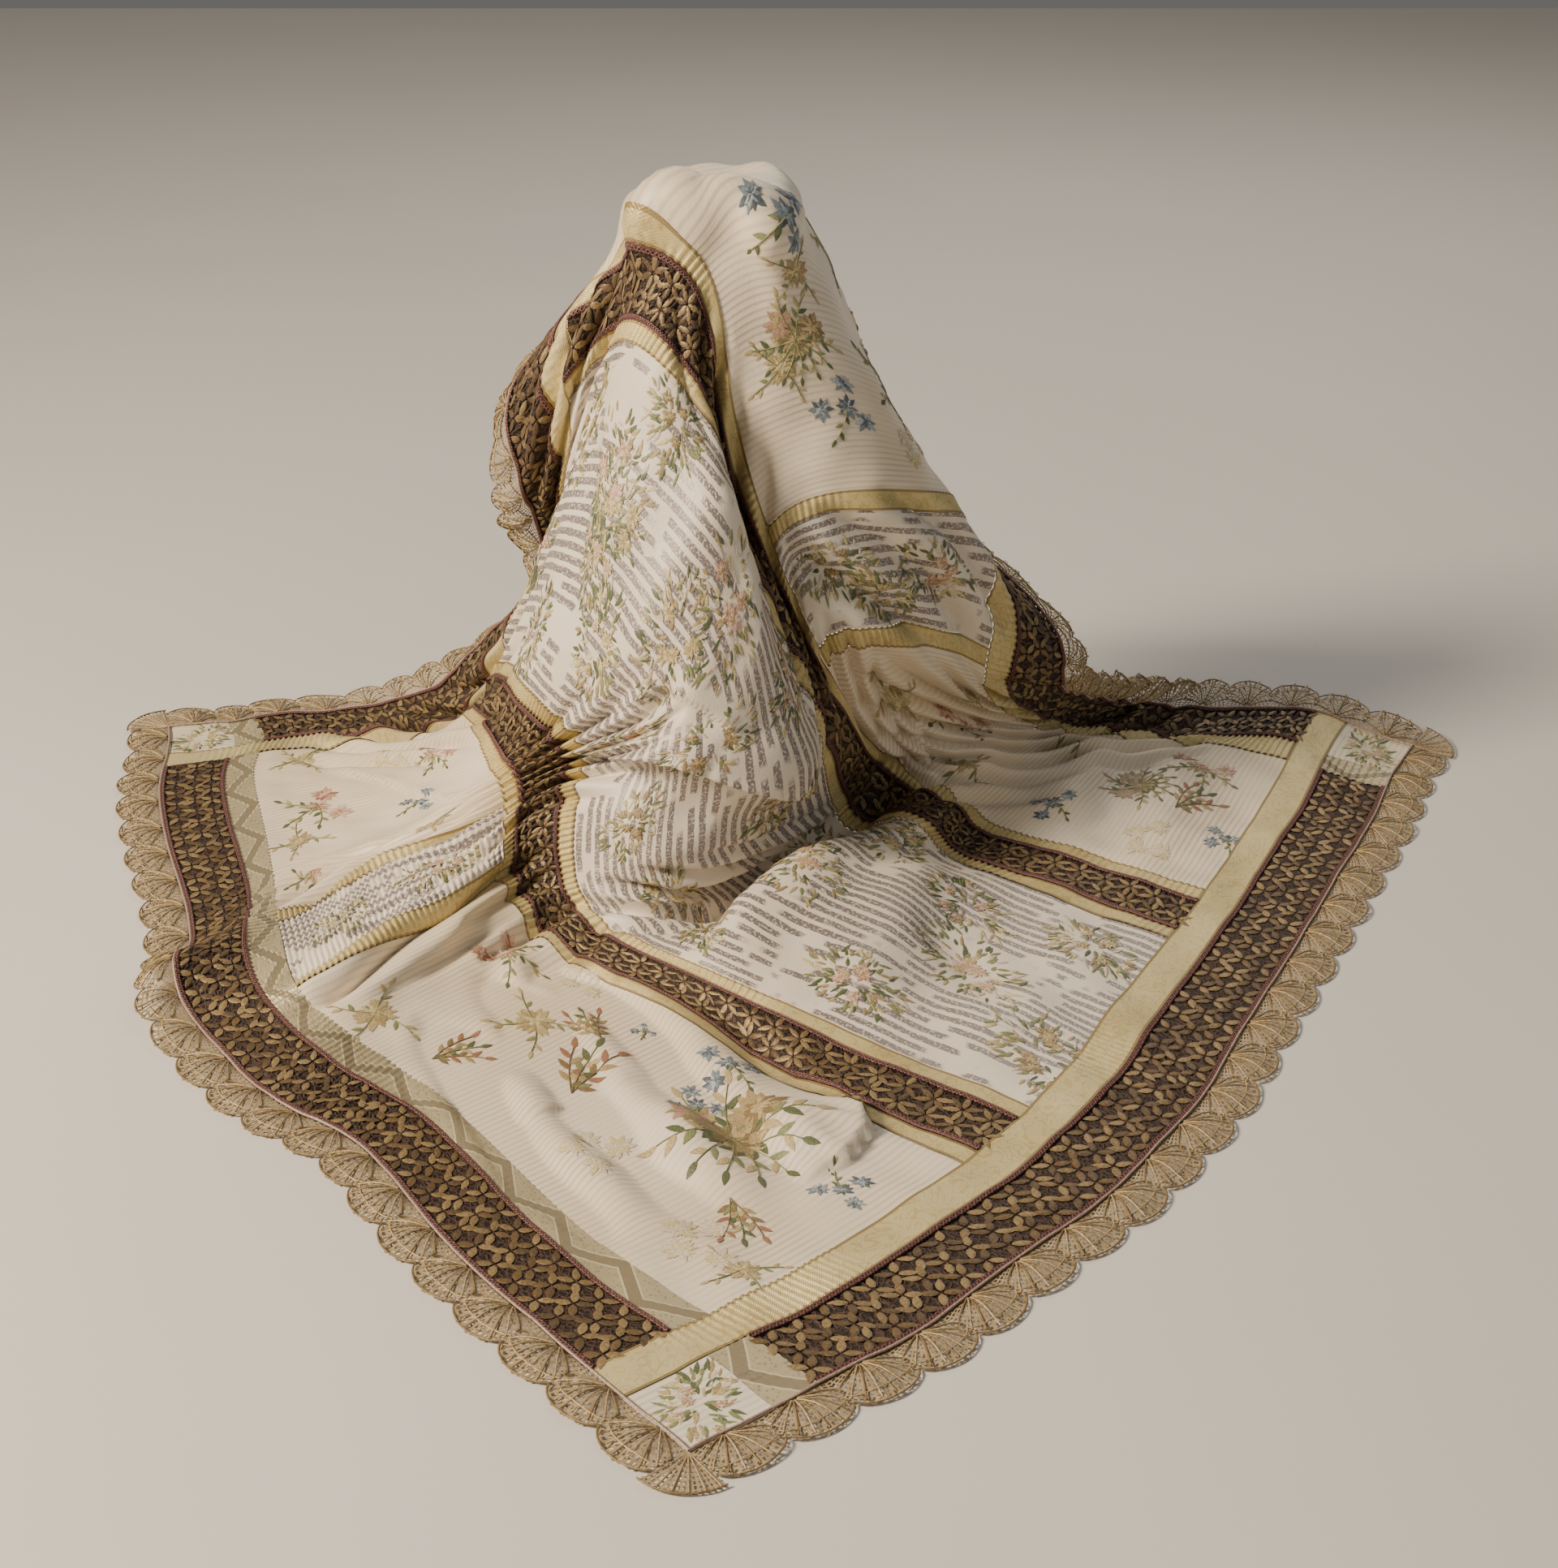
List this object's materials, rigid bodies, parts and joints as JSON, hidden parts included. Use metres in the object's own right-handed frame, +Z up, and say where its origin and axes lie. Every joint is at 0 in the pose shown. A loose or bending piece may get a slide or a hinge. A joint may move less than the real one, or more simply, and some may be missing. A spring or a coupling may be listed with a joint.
{
  "type": "altar cloth draped over a display post",
  "caption": "Pieced silk brocade altar cloth with lace, gold galloon and fan edging, draped in a peak over a square post and spread on its table in soft folds.",
  "frame": {"origin": "middle of the base of the overall box, on the table", "axes": "+Z up, -Y toward the viewer of the picture, +X to the viewer's right"},
  "size_m": [0.837, 0.7864, 0.3978],
  "materials": {
    "silk_cream": "cream silk with fine ribs and woven flower sprigs, soft sheen",
    "brocade_striped": "white and grey striped brocade with woven sprigs, silky",
    "galloon_gold": "pale woven gold braid, worn metallic sheen",
    "galloon_grey": "grey gold braid with a zigzag, dull metallic sheen",
    "lace_bronze": "dark bronze lace with leaf motifs, dull",
    "silk_patch": "pale silk brocade, soft sheen",
    "fan_edging": "bronze thread fans on fine net, dull",
    "post_wood": "plain waxed wood"
  },
  "bodies": {
    "root": {"back_edging": "fan_edging", "back_galloon": "galloon_gold", "back_lace": "lace_bronze", "back_left_grey_galloon": "galloon_grey", "back_left_patch": "silk_patch", "back_right_grey_galloon": "galloon_grey", "back_right_patch": "silk_patch", "centre_panel": "brocade_striped", "display_post": "post_wood", "front_edging": "fan_edging", "front_galloon": "galloon_gold", "front_lace": "lace_bronze", "front_left_grey_galloon": "galloon_grey", "front_left_patch": "silk_patch", "front_right_grey_galloon": "galloon_grey", "front_right_patch": "silk_patch", "inner_galloon_left_inner": "galloon_gold", "inner_galloon_left_outer": "galloon_gold", "inner_galloon_right_inner": "galloon_gold", "inner_galloon_right_outer": "galloon_gold", "inner_lace_left": "lace_bronze", "inner_lace_right": "lace_bronze", "left_band": "brocade_striped", "left_band_galloon_back": "galloon_gold", "left_band_galloon_front": "galloon_gold", "left_cream_back": "silk_cream", "left_cream_front": "silk_cream", "left_edging": "fan_edging", "left_galloon": "galloon_grey", "left_lace": "lace_bronze", "right_band": "brocade_striped", "right_band_galloon_back": "galloon_gold", "right_band_galloon_front": "galloon_gold", "right_cream_back": "silk_cream", "right_cream_front": "silk_cream", "right_edging": "fan_edging", "right_galloon": "galloon_gold", "right_lace": "lace_bronze"}
  },
  "joints": []
}
